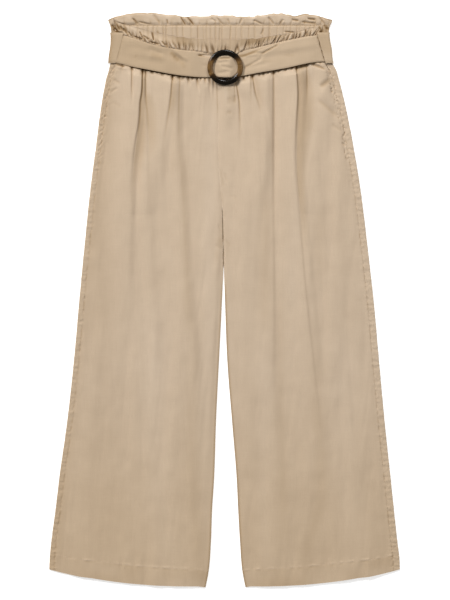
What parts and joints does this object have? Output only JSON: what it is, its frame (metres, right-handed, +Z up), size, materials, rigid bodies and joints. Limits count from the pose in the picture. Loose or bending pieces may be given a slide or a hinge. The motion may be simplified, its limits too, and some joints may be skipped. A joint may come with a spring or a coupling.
{
  "type": "culottes",
  "caption": "Wide-leg cropped culottes laid flat: gathered paper-bag waist with a frill, side-seam pockets, plain hems and a cloth belt through a round tortoiseshell ring buckle.",
  "frame": {"origin": "on the surface it lies on, under the middle of the garment's box", "axes": "+X to the wearer's left, +Y up the garment to the waist, +Z up from the surface"},
  "size_m": [0.5592, 0.9187, 0.0126],
  "materials": {
    "cloth": "matt plain weave",
    "belt_cloth": "matt plain weave",
    "buckle": "polished tortoiseshell"
  },
  "bodies": {
    "root": {"back_right": "cloth", "front_right": "cloth", "pocket_bag_right": "cloth", "belt_loop_right": "belt_cloth", "back_left": "cloth", "front_left": "cloth", "pocket_bag_left": "cloth", "belt_loop_left": "belt_cloth", "waistband_back": "cloth", "waistband_front": "cloth", "belt_back": "belt_cloth", "belt_sewn_end": "belt_cloth", "belt_strap": "belt_cloth", "ring_buckle": "buckle"}
  },
  "joints": []
}
